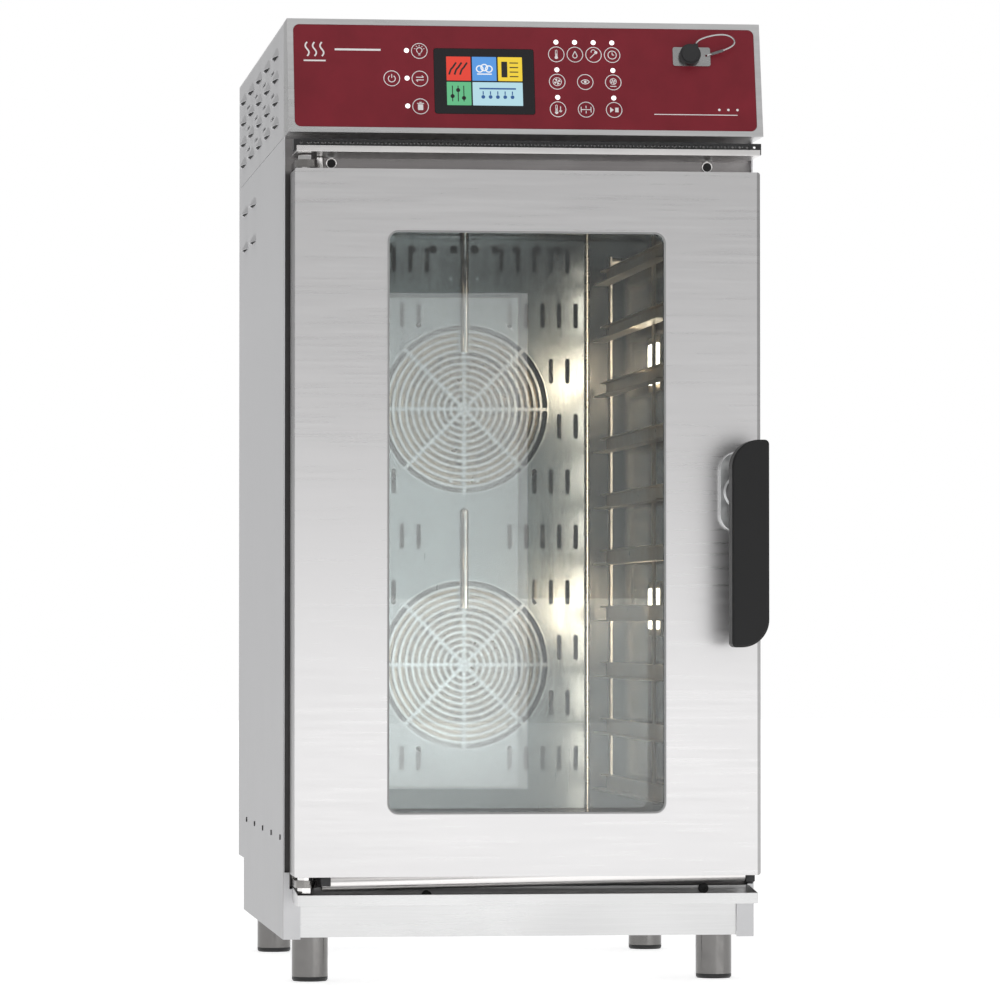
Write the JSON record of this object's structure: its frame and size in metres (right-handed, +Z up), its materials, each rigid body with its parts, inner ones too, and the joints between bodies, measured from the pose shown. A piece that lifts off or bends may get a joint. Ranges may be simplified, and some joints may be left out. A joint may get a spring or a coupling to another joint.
{
  "type": "combi steamer oven",
  "caption": "Slim free-standing combi steamer oven with a left-hinged glass door, lever handle, tilted touch control box, twin fans behind a slotted baffle, tray racks and levelling feet.",
  "frame": {"origin": "on the floor, in the middle of the oven's overall width and depth (the depth includes the door handle)", "axes": "+Z up; the door faces -Y; +X is the user's right when facing the door"},
  "size_m": [0.531, 0.8446, 1.08],
  "materials": {
    "stainless": "fine brushed stainless sheet",
    "bright_steel": "polished stainless",
    "dull_steel": "mill-finish stainless, inside the chamber",
    "overlay_red": "satin crimson film",
    "display_black": "glossy black lens",
    "black_plastic": "satin black",
    "rubber_black": "matt silicone",
    "glass_clear": "clear float glass",
    "lens_warm": "frosted glass",
    "blanket": "mineral wool",
    "board_green": "circuit board",
    "motor_paint": "dark grey paint",
    "bronze": "sintered bronze",
    "valve_body": "glass-filled nylon",
    "silver_plastic": "satin silver"
  },
  "bodies": {
    "cabinet": {"base_tray": "stainless", "left_side_panel": "stainless", "right_side_panel": "stainless", "left_upper_cover": "stainless", "right_upper_cover": "stainless", "top_cover": "stainless", "rear_panel": "dull_steel", "front_frame": "stainless", "cavity_liner": "dull_steel", "insulation": "blanket", "door_gasket": "rubber_black", "steam_deflector": "bright_steel", "vent_trim": "black_plastic", "gutter": "stainless", "control_box": "stainless", "control_overlay": "overlay_red", "display_module": "display_black", "control_board": "board_green", "socket_plate": "bright_steel", "probe_socket": "bright_steel", "fan_baffle": "dull_steel", "steam_injectors": "bright_steel", "heaters": "dull_steel", "fan_motors": "motor_paint", "tray_racks": "dull_steel", "lamp_frames": "bright_steel", "lamp_lenses": "lens_warm", "drain_strainer": "bright_steel", "drain_pipe": "dull_steel", "inlet_valves": "valve_body", "vent_chimney": "stainless", "flap_actuator": "black_plastic", "cable_gland": "black_plastic", "hinge_brackets": "bright_steel", "hinge_pins": "bright_steel", "door_keeper": "bright_steel", "foot_tubes": "stainless", "panel_screws": "black_plastic"},
    "door": {"door_skin": "stainless", "door_inner_frame": "dull_steel", "outer_glass": "glass_clear", "inner_glass": "glass_clear", "window_seal": "rubber_black", "drip_channel": "bright_steel", "hinge_bushes": "bronze", "handle_rosette": "silver_plastic"},
    "handle": {"handle_spindle": "bright_steel", "handle_grip": "black_plastic", "latch_fork": "bright_steel"},
    "upper_fan": {"upper_impeller": "dull_steel", "upper_fan_shaft": "bright_steel"},
    "lower_fan": {"lower_impeller": "dull_steel", "lower_fan_shaft": "bright_steel"},
    "flap": {"vent_flap": "dull_steel"},
    "cap": {"socket_cap": "black_plastic", "cap_tether": "dull_steel"},
    "foot_front_left": {"foot_front_left": "black_plastic"},
    "foot_front_right": {"foot_front_right": "black_plastic"},
    "foot_rear_left": {"foot_rear_left": "black_plastic"},
    "foot_rear_right": {"foot_rear_right": "black_plastic"}
  },
  "joints": [
    {"name": "door_hinge", "type": "hinge", "parent": "cabinet", "child": "door", "pos_m": [-0.238, -0.31925, 0.5], "axis": [0, 0, -1], "range_deg": [0, 120]},
    {"name": "handle_turn", "type": "hinge", "parent": "door", "child": "handle", "pos_m": [0.233, -0.33925, 0.536], "axis": [0, 1, 0], "range_deg": [-40, 40]},
    {"name": "upper_fan_spin", "type": "hinge", "parent": "cabinet", "child": "upper_fan", "pos_m": [0, 0.32075, 0.6504], "axis": [0, 1, 0], "continuous": true},
    {"name": "lower_fan_spin", "type": "hinge", "parent": "cabinet", "child": "lower_fan", "pos_m": [0, 0.32075, 0.3437], "axis": [0, 1, 0], "continuous": true},
    {"name": "vent_flap_turn", "type": "hinge", "parent": "cabinet", "child": "flap", "pos_m": [0.12, 0.28075, 1], "axis": [1, 0, 0], "range_deg": [0, 90]},
    {"name": "socket_cap_pull", "type": "slide", "parent": "cabinet", "child": "cap", "axis": [0, -0.9745, 0.2243], "range_m": [0, 0.014], "deforming": ["cap_tether"]},
    {"name": "foot_front_left_screw", "type": "slide", "parent": "cabinet", "child": "foot_front_left", "axis": [0, 0, -1], "range_m": [0, 0.01]},
    {"name": "foot_front_right_screw", "type": "slide", "parent": "cabinet", "child": "foot_front_right", "axis": [0, 0, -1], "range_m": [0, 0.01]},
    {"name": "foot_rear_left_screw", "type": "slide", "parent": "cabinet", "child": "foot_rear_left", "axis": [0, 0, -1], "range_m": [0, 0.01]},
    {"name": "foot_rear_right_screw", "type": "slide", "parent": "cabinet", "child": "foot_rear_right", "axis": [0, 0, -1], "range_m": [0, 0.01]}
  ]
}
